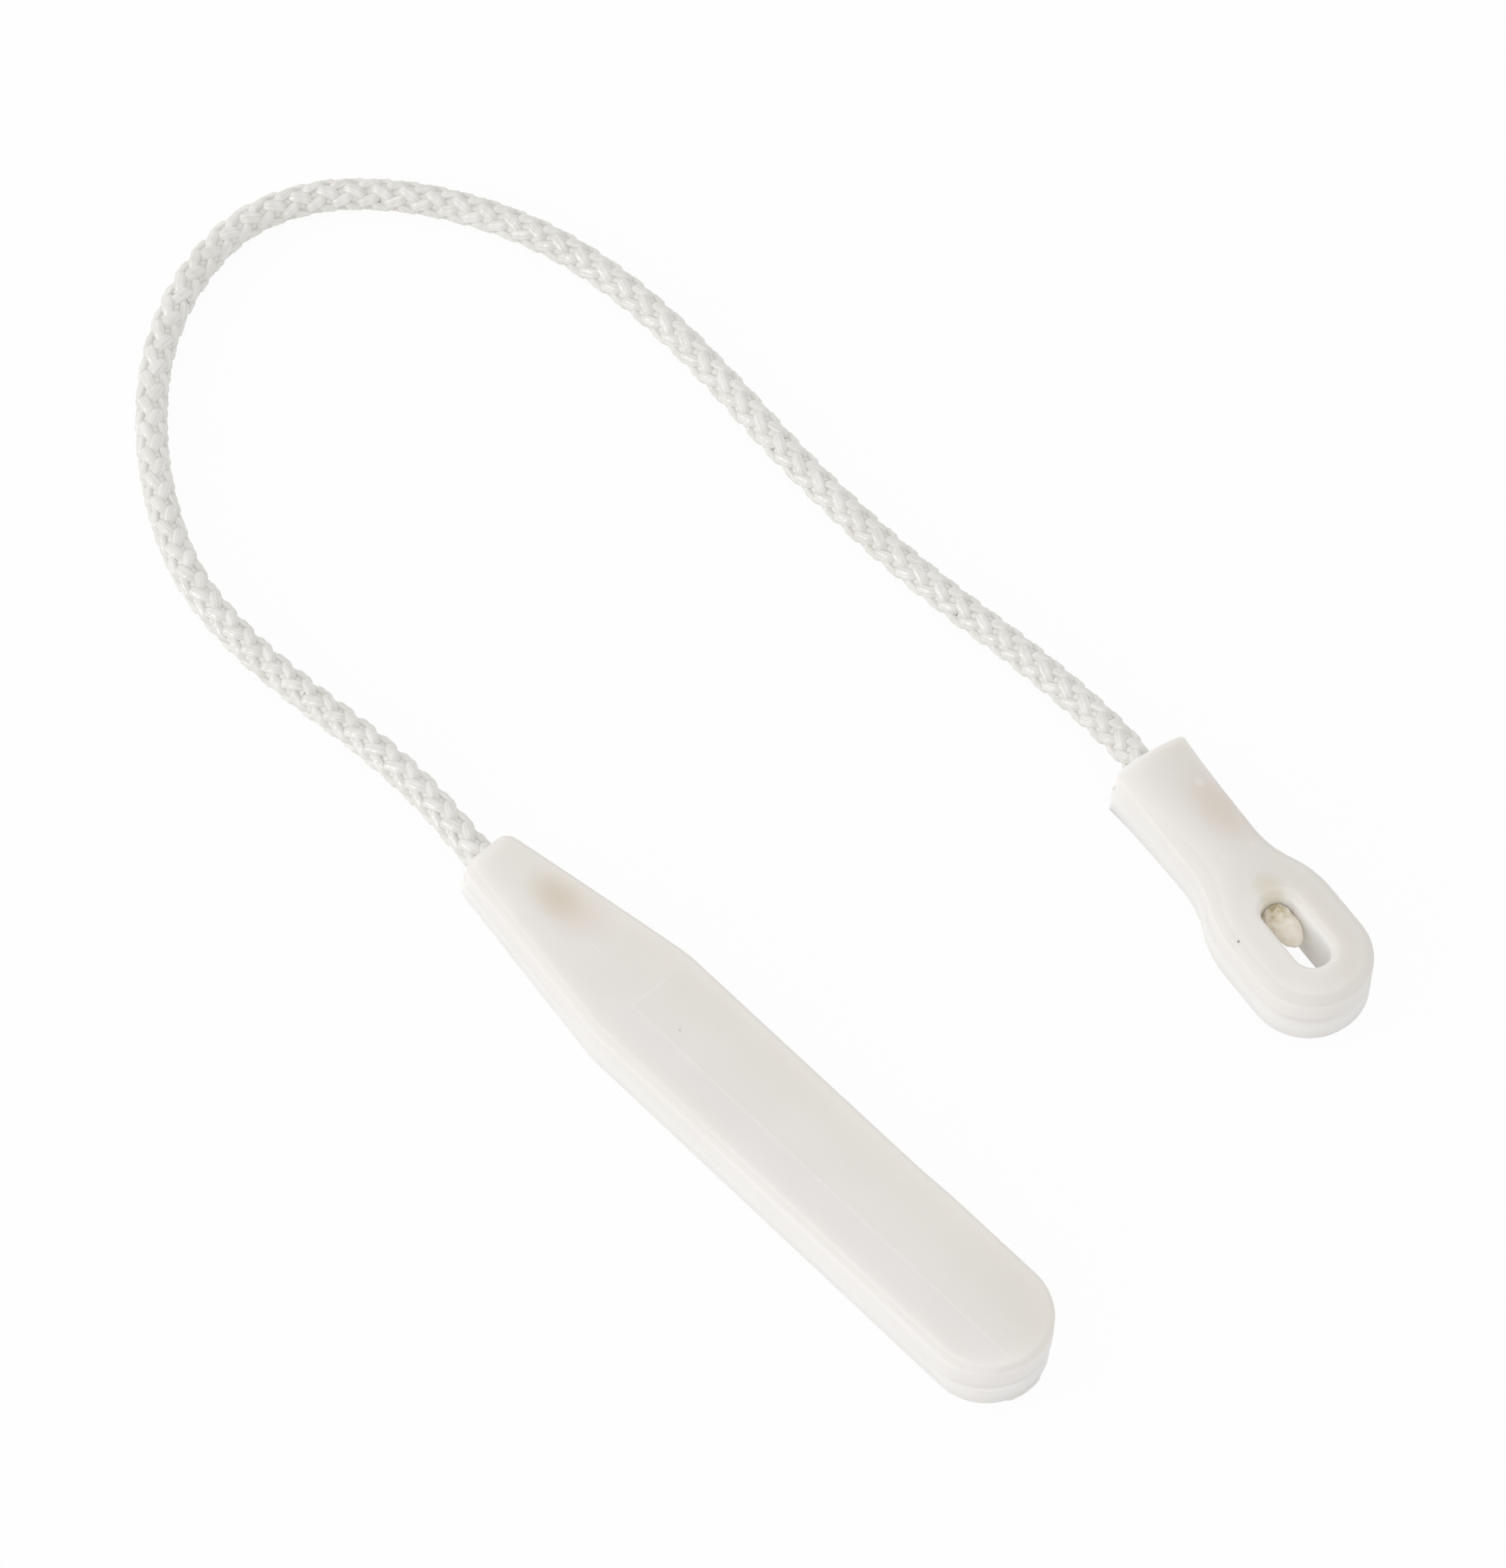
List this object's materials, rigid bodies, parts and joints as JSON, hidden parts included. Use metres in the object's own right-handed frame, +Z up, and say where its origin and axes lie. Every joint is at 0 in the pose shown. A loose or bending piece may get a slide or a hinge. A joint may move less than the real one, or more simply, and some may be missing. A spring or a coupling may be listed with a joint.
{
  "type": "cord with moulded bar and eye",
  "caption": "Braided cord with a tapered milky plastic bar moulded on one end and a slotted eye lug on the other, to link a hook or lever to a fixed point by pull.",
  "frame": {"origin": "on the surface that the part lies on, under the middle of the box round the bar and the eye, without the cord", "axes": "+X along the bar from its cord mouth to its round end, +Z up from the surface, +Y from the bar towards the eye"},
  "size_m": [0.1924, 0.0834, 0.0094],
  "materials": {
    "milky_plastic": "satin, milky and slightly translucent, as moulded",
    "white_braid": "glossy white multifilament braid",
    "sealed_cord": "cord end melted and browned by heat"
  },
  "bodies": {
    "bar": {"bar": "milky_plastic", "sealed_bead": "sealed_cord", "cord_1": "white_braid"},
    "cord_link_1": {"cord_2": "white_braid"},
    "cord_link_2": {"cord_3": "white_braid"},
    "cord_link_3": {"cord_4": "white_braid"},
    "cord_link_4": {"cord_5": "white_braid"},
    "cord_link_5": {"cord_6": "white_braid"},
    "cord_link_6": {"cord_7": "white_braid"},
    "cord_link_7": {"cord_8": "white_braid"},
    "eye": {"eye": "milky_plastic", "sealed_tail": "sealed_cord", "cord_9": "white_braid"}
  },
  "joints": [
    {"name": "bend_1", "type": "hinge", "parent": "bar", "child": "cord_link_1", "pos_m": [-0.06508, -0.03134, 0.00303], "axis": [0, 0, -1], "range_deg": [-20, 20], "deforming": ["cord_1", "cord_2"]},
    {"name": "bend_2", "type": "hinge", "parent": "cord_link_1", "child": "cord_link_2", "pos_m": [-0.09873, -0.0324, 0.00215], "axis": [0, 0, 1], "range_deg": [-7, 41], "deforming": ["cord_3"]},
    {"name": "bend_3", "type": "hinge", "parent": "cord_link_2", "child": "cord_link_3", "pos_m": [-0.1284, -0.0176, 0.00215], "axis": [0, 0, 1], "range_deg": [-7, 44], "deforming": ["cord_4"]},
    {"name": "bend_4", "type": "hinge", "parent": "cord_link_3", "child": "cord_link_4", "pos_m": [-0.14193, 0.01204, 0.00215], "axis": [0, 0, 1], "range_deg": [-7, 81], "deforming": ["cord_5"]},
    {"name": "bend_5", "type": "hinge", "parent": "cord_link_4", "child": "cord_link_5", "pos_m": [-0.11979, 0.03564, 0.00215], "axis": [0, 0, 1], "range_deg": [-7, 46], "deforming": ["cord_6"]},
    {"name": "bend_6", "type": "hinge", "parent": "cord_link_5", "child": "cord_link_6", "pos_m": [-0.08663, 0.0396, 0.00215], "axis": [0, 0, 1], "range_deg": [-7, 19], "deforming": ["cord_7"]},
    {"name": "bend_7", "type": "hinge", "parent": "cord_link_6", "child": "cord_link_7", "pos_m": [-0.053, 0.03702, 0.00215], "axis": [0, 0, -1], "range_deg": [-20, 17], "deforming": ["cord_8"]},
    {"name": "bend_8", "type": "hinge", "parent": "cord_link_7", "child": "eye", "pos_m": [-0.01932, 0.03841, 0.00271], "axis": [0, 0, 1], "range_deg": [-15, 27], "deforming": ["cord_9"]}
  ]
}
